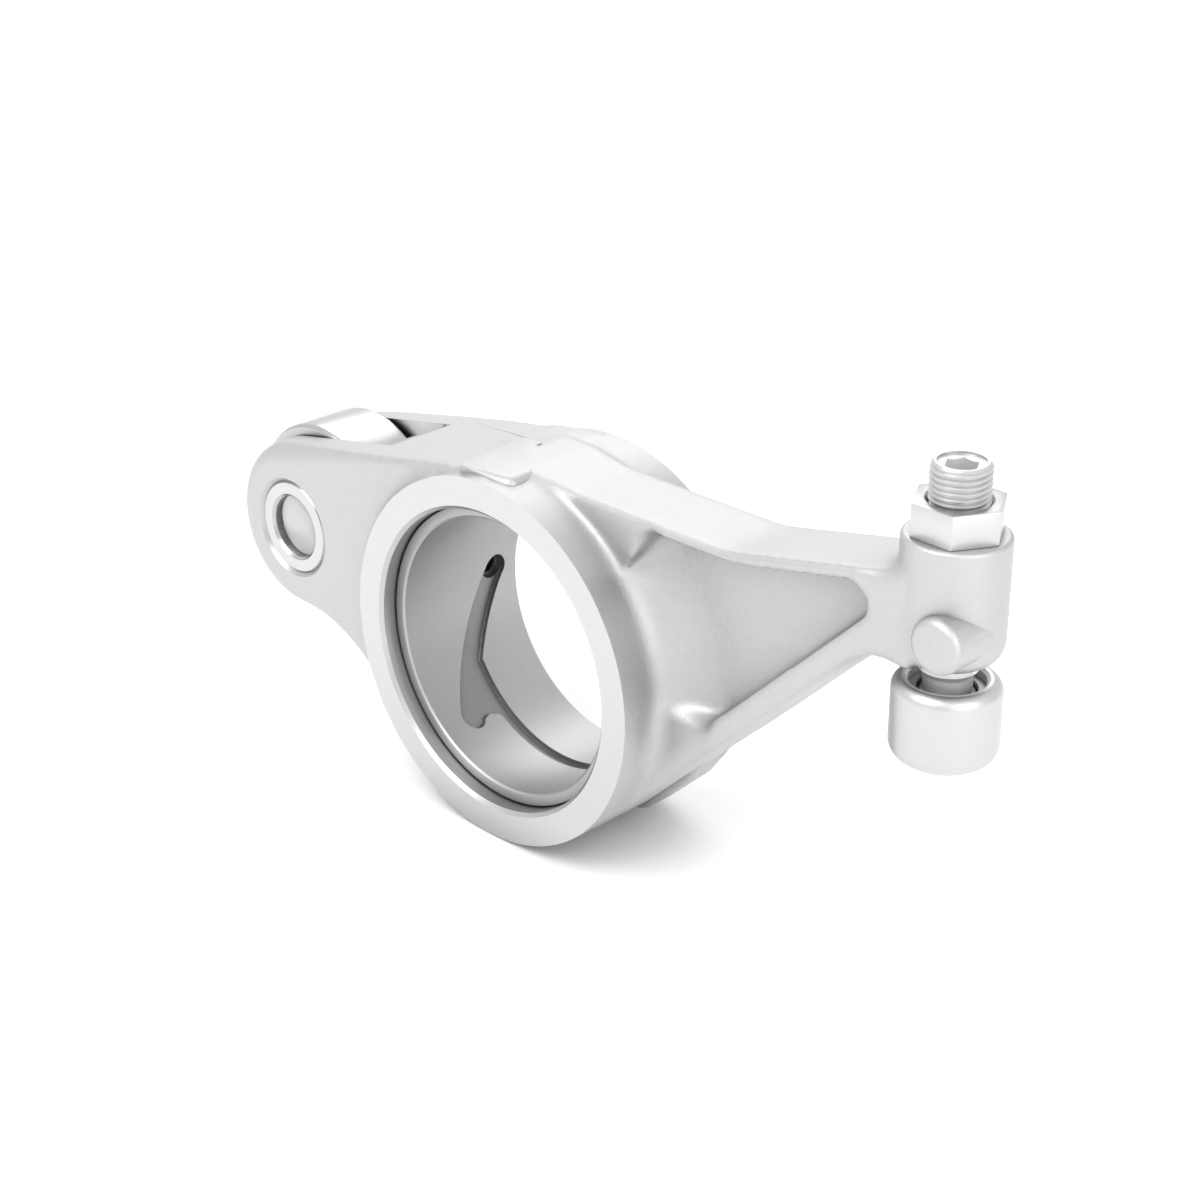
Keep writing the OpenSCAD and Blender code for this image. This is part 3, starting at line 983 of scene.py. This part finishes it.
    def ease(self, p: Vector) -> float:
        """Says where the die's wide fillets are: at the hub, at the boss and at the ears.

        Args:
            p: A point of the surface.

        Returns:
            A weight from 0 to 1.
        """
        flare = root = ear = 0.0
        if abs(p.y) < 12 and p.x > 26:
            flare = max(bump_weight(math.hypot(p.x - x, p.z - z), near, far)
                        for x, z, near, far in self.soft_spots)
        if p.z < 48:
            root = bump_weight(abs(p.x - self.boss_root_x), 1.0, 4.5)
        if p.x < -14 and abs(p.y) > 10:
            ear = bump_weight(abs(math.hypot(p.x, p.z) - self.hub_r), 0.5, 5)
        return max(flare, 0.4 * root, 0.6 * ear)

    def hollow_floor(self, p: Vector) -> float:
        """Says where the hollow's walls run into its floor, short of its rim.

        Args:
            p: A point of the surface.

        Returns:
            A weight from 0 to 1.
        """
        if p.x < 25 or p.x > 84 or abs(p.y) > 8 or math.hypot(p.x, p.z) < self.hub_r + 0.6:
            return 0.0
        return bump_weight(abs(p.y), 5.2, 7.6)

    def machined(self, body: Blank) -> Blank:
        """Faces, bores, slots and drills the forging.

        Args:
            body: The forging as it left the die.

        Returns:
            The finished arm.
        """
        x, z = self.pin
        over = self.hub_half + 6
        w = self.hub_r + 9
        block = [(-w, -w), (w, -w), (w, w), (-w, w)]
        body.join(Op.CUT, Blank.plate("facing", block, -over, -self.hub_half),
                  Blank.plate("facing_rear", block, self.hub_half, over))
        seat = through(self.seat_r, self.seat_chamfer, -self.hub_half, self.hub_half, 6)
        body.join(Op.CUT, Blank.turned("seat", seat, Along.Y, steps=256))
        hole = through(self.pin_r, self.pin_chamfer, -self.ears_half, self.ears_half, 5)
        body.join(Op.CUT, Blank.turned("pin_hole", hole, Along.Y, (x, 0, z), 128))
        w, (front_r, rear_r) = self.slot_half, self.slot_r
        slot = rounded([(-90, -w, 0), (-37.4, -w, front_r), (-35.9, w, rear_r), (-90, w, 0)], 10)
        body.join(Op.CUT, Blank.plate("slot", slot, -40, 60, flat=True))
        b, t, e = self.boss_r, self.boss_top, self.rim_r
        rim = [(0, t)] + arc(b - e, t - e, e, 90, 0, 6) + [(b + 4, t - e), (b + 4, t + 9), (0, t + 9)]
        body.join(Op.CUT, Blank.turned("top_facing", rim, Along.Z, (self.screw_x, 0, 0), 128))
        q, c = self.bore_r, self.bore_chamfer
        bore = [(0, 20), (q, 20), (q, t - c), (q + c, t), (q + c, t + 10), (0, t + 10)]
        body.join(Op.CUT, Blank.turned("screw_bore", bore, Along.Z, (self.screw_x, 0, 0), 96))
        out, start = outward(GALLERY_ANGLE), Vector((0, GALLERY_Y, 0))
        for name, r, near in (("gallery", self.gallery_r, self.gallery_from),
                              ("gallery_mouth", GALLERY_MOUTH_R, self.mouth_from)):
            end = start + self.gallery_to * out
            body.join(Op.CUT, Blank.rod(name, r, start + near * out, end, 32))
        return body

    def skin(self, p: Vector, n: Vector) -> ArmFace:
        """Says which kind a face is.

        Args:
            p: Middle of the face.
            n: Its normal.

        Returns:
            The kind.
        """
        if abs(abs(p.y) - self.hub_half) < 0.02 and abs(n.y) > 0.99:
            return ArmFace.FACED
        if math.hypot(p.x, p.z) < self.seat_r + self.seat_chamfer + 0.1:
            return ArmFace.BORED
        if math.hypot(p.x - self.pin[0], p.z - self.pin[1]) < self.pin_r + 0.8:
            return ArmFace.BORED
        # The slot's faces get the darker steel: painted shade in the slot.
        if p.x < -35.5 and abs(p.y) < self.slot_half + 0.02:
            return ArmFace.SLOT_PAINTED_SHADE
        if abs(p.z - self.boss_top) < 0.02 or math.hypot(p.x - self.screw_x, p.y) < 5.5:
            return ArmFace.SPOT_FACED
        return ArmFace.FORGED

    def build(self) -> None:
        """Forges, machines and dresses the arm."""
        body = self.hub()
        body.thing.name = "arm_forging"
        body.join(Op.ADD, self.ears(), self.beam(), self.flare(), self.boss())
        body.apply("REMESH", mode="VOXEL", voxel_size=self.voxel, adaptivity=0.0)
        body.relax(self.hollow_floor, self.wall_rounds)
        body.relax(self.ease, self.fillet_rounds)
        body.relax(lambda p: 1.0, self.die_rounds)
        body.join(Op.ADD, *self.pads())
        self.machined(body)
        body.done("arm", "arm_body", "forged_steel",
                  [FORGED, FACED, BORED, SLOT_PAINTED_SHADE, SPOT_FACED], self.skin, 28)


@dataclass
class ShaftBush:
    """The plain bush in the hub, with its oil hole and two-armed groove."""

    outer_r: float = SEAT_R
    inner_r: float = 27.1
    front: float = -13.3
    rear: float = 16.4
    edge: float = 0.35
    groove_depth: float = 1.1
    hole_angle: float = GALLERY_ANGLE
    hole_y: float = 10.5
    hole_r: float = 2.65
    slant_end: tuple[float, float] = (232.0, -5.4)
    slant_r: float = 2.5
    run_start: float = 212.0
    run_end: float = 318.0
    run_low: float = 0.6
    run_high: float = 3.3
    nose: tuple[Triple, ...] = ((-8.0, 2.0, 0), (-10.0, -4.0, 0), (-14.7, -4.9, 0),
                                (-13.7, -1.7, 1.4), (-14.6, 0.5, 0.9), (-17.5, 0.6, 0),
                                (-17.5, 2.0, 0))
    voxel: float = 0.18
    rounds: int = 5

    def groove(self) -> Blank:
        """The cutter of both arms of the groove, with a soft inner corner.

        Returns:
            The cutter.
        """
        start, end = self.hole_angle, self.slant_end[0]
        mid = (start + end) / 2
        reach = self.inner_r * math.sin(math.radians(end - start) / 2)
        lean = math.degrees(math.atan2(self.hole_y - self.slant_end[1], 2 * reach))
        outline = (arc(reach, self.hole_y, self.slant_r, lean - 90, lean + 90, 12)
                   + arc(-reach, self.slant_end[1], self.slant_r, lean + 90, lean + 270, 12))
        slot = Blank.plate("slant", outline, self.inner_r - 14, self.outer_r + 3, flat=True)
        slot.join(Op.ADD, Blank.plate("nose", rounded(self.nose), self.inner_r - 13,
                                      self.outer_r + 2, flat=True))
        slot.spun(90 - mid, Along.Y, (0, 0, 0))
        floor = self.inner_r + self.groove_depth
        slot.join(Op.KEEP, Blank.rod("slant_floor", floor, (0, -20, 0), (0, 20, 0), 256))
        low, high, top = self.run_low, self.run_high, self.inner_r - 2.5
        section = [(top, low), (floor, low), (floor, high), (top, high)]
        run = Blank.swept("run", section, Along.Y, (0, 0, 0), -self.run_start,
                          self.run_end - self.run_start, 96)
        groove = slot.join(Op.ADD, run).apply("REMESH", mode="VOXEL", voxel_size=self.voxel)
        return groove.relax(lambda p: 1.0, self.rounds)

    def build(self) -> None:
        """Turns, grooves and dresses the bush."""
        profile = tube(self.inner_r, self.outer_r, self.front, self.rear, self.edge, self.edge)
        bush = Blank.turned("bush_shell", profile, Along.Y, steps=256)
        bush.join(Op.CUT, self.groove())
        out, mouth = outward(self.hole_angle), Vector((0, self.hole_y, 0))
        bush.join(Op.CUT, Blank.rod("oil_hole", self.hole_r, mouth + 20 * out, mouth + 34 * out, 48))
        bush.done("arm", "shaft_bush", "bearing_overlay", [OVERLAY, GROOVED],
                  lambda p, n: int(self.inner_r + 0.1 < math.hypot(p.x, p.z) < self.outer_r - 0.1
                                   and self.front + 1 < p.y < self.rear - 1), 30)


@dataclass
class RollerSet:
    """The cam roller on its floating bush, on the hollow pin with its two plugs."""

    x: float = PIN_X
    z: float = PIN_Z
    pin_r: float = PIN_R
    pin_end: float = 14.5
    bore_r: float = 6.35
    plug_face: float = 12.3
    plug_back: float = 9.3
    dish: float = 1.6
    bush_r: float = 12.05
    bush_half: float = 7.0
    roller_r: float = 19.2
    roller_half: float = 7.3
    roller_edge: float = 0.9
    play: float = 0.05
    pin_edge: float = 0.35
    pin_bore_edge: float = 0.55
    plug_edge: float = 0.6
    bush_edge: float = 0.3
    roller_bore_edge: float = 0.45
    pin_oil_r: float = 1.5
    bush_oil_r: float = 1.25
    ball_at: float = 72.3
    peen_at: float = 74.35
    peen_r: float = 1.2

    def turned(self, name: str, profile: Outline, steps: int = 160) -> Blank:
        """A profile turned about the roller's axis."""
        return Blank.turned(name, profile, Along.Y, (self.x, 0, self.z), steps)

    def spoke(self, name: str, degrees: float, r: float, low: float, high: float,
              y: float = 0) -> Blank:
        """A drill that points out from the roller's axis.

        Args:
            name: Name of the cutter.
            degrees: Its direction in XZ.
            r: Its radius.
            low: Where it starts, from the axis.
            high: Where it ends.
            y: Its place along the axis.

        Returns:
            The cutter.
        """
        out, at = outward(degrees), Vector((self.x, y, self.z))
        return Blank.rod(name, r, at + low * out, at + high * out, 32)

    def build_pin(self) -> None:
        """The hollow pin with its oil holes."""
        pin = self.turned("pin_tube", tube(self.bore_r, self.pin_r, -self.pin_end, self.pin_end,
                                           self.pin_bore_edge, self.pin_edge))
        pin.join(Op.CUT, self.spoke("pin_feed", GALLERY_ANGLE + 180, self.pin_oil_r, 4, 12, 10.5),
                 self.spoke("pin_drill", 270, self.pin_oil_r, 4, 12))
        pin.done("arm", "roller_pin", "ground_steel", [GROUND, LAPPED],
                 lambda p, n: int(abs(n.y) > 0.9), 25)

    def build_plugs(self) -> None:
        """The two dished plugs, the rear one mirrored from the front one."""
        bow = (self.bore_r ** 2 + self.dish ** 2) / (2 * self.dish)
        half = math.degrees(math.asin((self.bore_r - 0.35) / bow))
        face = [(r, -self.plug_face + self.dish - bow + d) for d, r in arc(0, 0, bow, 0, half, 12)]
        e = self.plug_edge
        profile = face + [(self.bore_r, -self.plug_face), (self.bore_r, -self.plug_back - e),
                          (self.bore_r - e, -self.plug_back), (0, -self.plug_back)]
        front = self.turned("plug_cup_front", profile, 96)
        rear = front.mirrored("plug_cup_rear")
        front.done("arm", "pin_plug_front", "plug_steel", [PRESSED], angle=25)
        rear.done("arm", "pin_plug_rear", "plug_steel", [PRESSED], angle=25)

    def build_bush(self) -> None:
        """The bronze bush that floats between pin and roller."""
        half, c = self.bush_half, self.bush_edge
        bush = self.turned("float_bush", tube(self.pin_r + self.play, self.bush_r, -half, half, c, c))
        bush.join(Op.CUT, *(self.spoke("bush_drill", 90 - 120 * i, self.bush_oil_r, 7, 14)
                            for i in (1, 2, 3)))
        bush.done("floating_bush", "roller_bush", "bronze", [BRONZE], angle=25)

    def build_roller(self) -> None:
        """The roller with rounded edges and ground faces."""
        r, half, e = self.roller_r, self.roller_half, self.roller_edge
        bore, c = self.bush_r + self.play, self.roller_bore_edge
        profile = ([(bore + c, -half)] + arc(r - e, -half + e, e, -90, 0)
                   + arc(r - e, half - e, e, 0, 90)
                   + [(bore + c, half), (bore, half - c), (bore, -half + c), (bore + c, -half)])
        roller = self.turned("roller_ring", profile, 224)
        roller.done("roller", "cam_roller", "ground_steel", [GROUND, LAPPED],
                    lambda p, n: int(abs(n.y) > 0.9), 20)

    def build_ball(self) -> None:
        """The ball that closes the drilled oil gallery in the rear ear."""
        out, start = outward(GALLERY_ANGLE), Vector((0, GALLERY_Y, 0))
        Blank.clear()
        bpy.ops.mesh.primitive_uv_sphere_add(segments=48, ring_count=24, radius=GALLERY_MOUTH_R,
                                             location=start + self.ball_at * out)
        ball = Blank(bpy.context.active_object).settled()
        ball.thing.name = "oil_ball"
        peen = start + self.peen_at * out
        ball.join(Op.CUT, Blank.rod("peen", self.peen_r, peen, peen + 4 * out, 48))
        ball.done("arm", "gallery_plug", "plug_steel", [GROUND], angle=30)

    def build(self) -> None:
        """Builds the pieces from the middle out."""
        self.build_pin()
        self.build_plugs()
        self.build_bush()
        self.build_roller()
        self.build_ball()


@dataclass
class ScrewSet:
    """The adjusting screw with its ball end, and its lock nut."""

    x: float = SCREW_X
    top: float = 61.5
    r: float = SCREW_R
    thread_low: float = 28.2
    pitch: float = 1.0
    thread_depth: float = 0.5
    ball_r: float = 6.0
    ball_z: float = BALL_Z
    neck_r: float = 4.1
    socket_af: float = 5.0
    socket_deep: float = 5.0
    nut_af: float = 14.0
    nut_low: float = BOSS_TOP
    nut_high: float = 55.25
    nut_chamfer: float = 0.5
    nut_edge: float = 0.14
    play: float = 0.05
    rim_deep: float = 0.5
    neck_top: float = 24.3
    neck_fillet: float = 0.9
    shank_low: float = 26.2
    tip_edge: float = 0.65
    slack: float = 0.02

    def thread(self) -> Blank:
        """The cutter of the thread: a V-shaped section wound up along the screw.

        Returns:
            The cutter.
        """
        low, deep, half = self.thread_low, self.r - self.thread_depth, 0.44 * self.pitch
        section = [(self.x + self.r + 0.4, 0, low - half), (self.x + self.r + 0.4, 0, low + half),
                   (self.x + self.r, 0, low + half), (self.x + deep, 0, low + 0.08),
                   (self.x + deep, 0, low - 0.08), (self.x + self.r, 0, low - half)]
        wind = Blank.drawn("thread", [(a - self.x, b, c - low) for a, b, c in section], close=True)
        turns = int((self.top + 1.2 - low) / self.pitch)
        with wind.editing("FACE"):
            bpy.ops.mesh.delete(type="ONLY_FACE")
        wind.apply("SCREW", axis="Z", angle=math.tau, screw_offset=self.pitch, iterations=turns,
                   steps=56, render_steps=56, use_merge_vertices=False)
        with wind.editing():
            bpy.ops.mesh.select_all(action="DESELECT")
            bpy.ops.mesh.select_non_manifold()
            bpy.ops.mesh.fill_holes(sides=8)
        return wind.facing_out().moved((self.x, 0, low))

    def socket(self) -> list[Blank]:
        """The cutters of the hexagon socket and its coned mouth.

        Returns:
            The cutters.
        """
        floor = self.top - self.rim_deep
        outline = hexagon(self.x, self.socket_af)
        key = Blank.plate("hex_key", outline, floor - self.socket_deep, floor + 2, flat=True)
        rim = [(0, floor), (3.6, floor), (3.98, floor + 0.15), (3.98, self.top + 2),
               (0, self.top + 2)]
        cone = [(0, floor - 1.1), (1.0, floor - 1.1), (2.95, floor), (2.95, floor + 1),
                (0, floor + 1)]
        point = [(0, floor - 6.2), (2.3, floor - 4.9), (2.3, floor - 2), (0, floor - 2)]
        spots = (("rim", rim), ("cone", cone), ("drill_point", point))
        return [key] + [Blank.turned(name, profile, Along.Z, (self.x, 0, 0), 96)
                        for name, profile in spots]

    def build_screw(self) -> None:
        """Turns, threads and sockets the screw."""
        up = math.degrees(math.acos(self.neck_r / self.ball_r))
        r, top, f = self.r - self.slack, self.top, self.neck_fillet
        profile = (arc(0, self.ball_z, self.ball_r, -90, up, 24) + [(self.neck_r, self.neck_top)]
                   + arc(self.neck_r + f, self.neck_top + 0.6, f, 180, 118, 4)
                   + [(r, self.shank_low), (r, top - self.tip_edge), (r - self.tip_edge, top),
                      (0, top)])
        screw = Blank.turned("adjuster_screw", profile, Along.Z, (self.x, 0, 0), 128)
        screw.join(Op.CUT, self.thread())
        screw.join(Op.CUT, *self.socket())
        # The socket, the neck and the ball get the lighter steel: painted light where they sit in
        # shade.
        screw.done("screw", "adjusting_screw", "screw_steel", [PLATED, PAINTED_LIGHT_STEEL],
                   lambda p, n: int(p.z < self.thread_low - 1 or top - 8 < p.z < top - 0.4
                                    and math.hypot(p.x - self.x, p.y) < 3.2), 28)

    def build_nut(self) -> None:
        """The plain hexagon nut with its countersunk bore."""
        low, high = self.nut_low, self.nut_high
        nut = Blank.plate("jam_nut", hexagon(self.x, self.nut_af), low, high, flat=True)
        nut.bevel(lambda a, b: True, self.nut_edge, 2)
        profile = through(self.r + self.play, self.nut_chamfer, low, high, 1)
        nut.join(Op.CUT, Blank.turned("nut_bore", profile, Along.Z, (self.x, 0, 0), 96))
        nut.done("nut", "lock_nut", "nut_steel", [NUT_SKIN, PLATED],
                 lambda p, n: int(abs(n.z) < 0.9), 28)

    def build(self) -> None:
        """Builds both pieces."""
        self.build_screw()
        self.build_nut()


@dataclass
class SwivelFoot:
    """The foot on the screw's ball, with the split ring that keeps it there."""

    x: float = SCREW_X
    r: float = 9.1
    low: float = 9.6
    high: float = 24.3
    low_edge: float = 3.35
    shoulder: float = 2.1
    ball_z: float = BALL_Z
    seat_r: float = 6.05
    mouth_r: float = 6.42
    ring_low: float = 21.6
    ring_t: float = 0.9
    ring_in: float = 5.0
    ring_start: float = 102.0
    ring_turn: float = 336.0
    ring_edge: float = 0.12
    groove: float = 0.8
    mouth_edge: float = 0.5
    play: float = 0.05

    def build(self) -> None:
        """Turns the foot and bends the ring."""
        z, m, g = self.ring_low - self.play, self.mouth_r, self.mouth_r + self.groove
        over, e = z + self.ring_t + 2 * self.play, self.mouth_edge
        seat = arc(0, self.ball_z, self.seat_r, -90, 0, 20)
        inside = seat + [(m, self.ball_z), (m, z), (g, z), (g, over), (m, over),
                         (m, self.high - e), (m + e, self.high)]
        outside = (arc(self.r - self.shoulder, self.high - self.shoulder, self.shoulder, 90, 0, 8)
                   + arc(self.r - self.low_edge, self.low + self.low_edge, self.low_edge, 0, -90, 12)
                   + [(0, self.low)])
        foot = Blank.turned("foot_cup", inside + outside, Along.Z, (self.x, 0, 0), 144)
        # The foot's inner seat and mouth get the lighter steel: painted light inside the cup.
        foot.done("foot", "swivel_foot", "foot_steel", [HARDENED, NUT_SKIN, PAINTED_LIGHT_STEEL],
                  lambda p, n: 1 if n.z < -0.95 and p.z < self.low + 1
                  else 2 * int(math.hypot(p.x - self.x, p.y) < g + 0.01 and p.z > self.low + 1), 28)
        low, high, out = self.ring_low, self.ring_low + self.ring_t, g - self.play
        section = [(self.ring_in, low), (out, low), (out, high), (self.ring_in, high)]
        ring = Blank.swept("retaining_ring", section, Along.Z, (self.x, 0, 0), self.ring_start,
                           self.ring_turn, 112)
        ring.bevel(lambda a, b: abs(a.z - b.z) < 0.01
                   and abs(math.hypot(a.x - self.x, a.y) - math.hypot(b.x - self.x, b.y)) < 0.01,
                   self.ring_edge, 2)
        ring.done("ring", "foot_ring", "ring_steel", [SPRING], angle=30)


@dataclass
class Studio:
    """Plain pale floor, soft lights and the camera at the photograph's angle."""

    floor_z: float = -0.0362
    eye: Triple = (0.30175, -0.28879, 0.20211)
    aim: Triple = (0.01, 0.0, 0.01)
    tilt: float = 65.0
    turn: float = 45.0
    lens: float = 73.67
    sky: float = 1.05
    lamps: tuple[tuple[str, Triple, float, float], ...] = (
        ("key", (-0.1, -0.8, 1.0), 0.9, 9.0), ("fill", (1.0, -0.2, 0.5), 0.9, 4.5),
        ("rim", (-0.6, 0.7, 0.8), 0.8, 3.0))

    def floor(self) -> None:
        """The wide, flat, pale floor under the part."""
        Blank.clear()
        bpy.ops.mesh.primitive_plane_add(size=6.0, location=(0, 0, self.floor_z))
        floor = bpy.context.active_object
        floor.name = "studio_floor"
        tree = Tree("pale studio paper")
        tree.feed(tree.shader.inputs["Base Color"],
                  tree.blend(tree.noise(30.0), (0.9, 0.9, 0.9), (0.93, 0.93, 0.93)))
        tree.feed(tree.shader.inputs["Roughness"], 0.85)
        floor.data.materials.append(tree.stuff)

    def light(self, name: str, place: Point, size: float, power: float) -> None:
        """One soft area light that looks at the part.

        Args:
            name: Its name.
            place: Where it stands, in metres.
            size: Its width in metres.
            power: Its power in watts.
        """
        Blank.clear()
        aim = (Vector(self.aim) - Vector(place)).to_track_quat("-Z", "Y").to_euler()
        bpy.ops.object.light_add(type="AREA", location=place, rotation=aim)
        lamp = bpy.context.active_object
        lamp.name = name
        lamp.data.size = size
        lamp.data.energy = power

    def build(self) -> None:
        """Sets the studio up."""
        self.floor()
        for lamp in self.lamps:
            self.light(*lamp)
        world = bpy.context.scene.world or bpy.data.worlds.new("studio")
        bpy.context.scene.world = world
        world.use_nodes = True
        back = world.node_tree.nodes["Background"]
        back.inputs["Color"].default_value = (1, 1, 1, 1)
        back.inputs["Strength"].default_value = self.sky
        bpy.context.scene.view_settings.view_transform = "Standard"
        Blank.clear()
        bpy.ops.object.camera_add(location=self.eye,
                                  rotation=(math.radians(self.tilt), 0, math.radians(self.turn)))
        camera = bpy.context.active_object
        camera.name = "photo_camera"
        camera.data.lens = self.lens
        camera.data.sensor_width = 36.0
        camera.data.clip_start = 0.01
        bpy.context.scene.camera = camera


def main() -> None:
    """Builds the studio and each sub-assembly in order."""
    Studio().build()
    Forging().build()
    ShaftBush().build()
    RollerSet().build()
    ScrewSet().build()
    SwivelFoot().build()


if __name__ == "__main__":
    main()
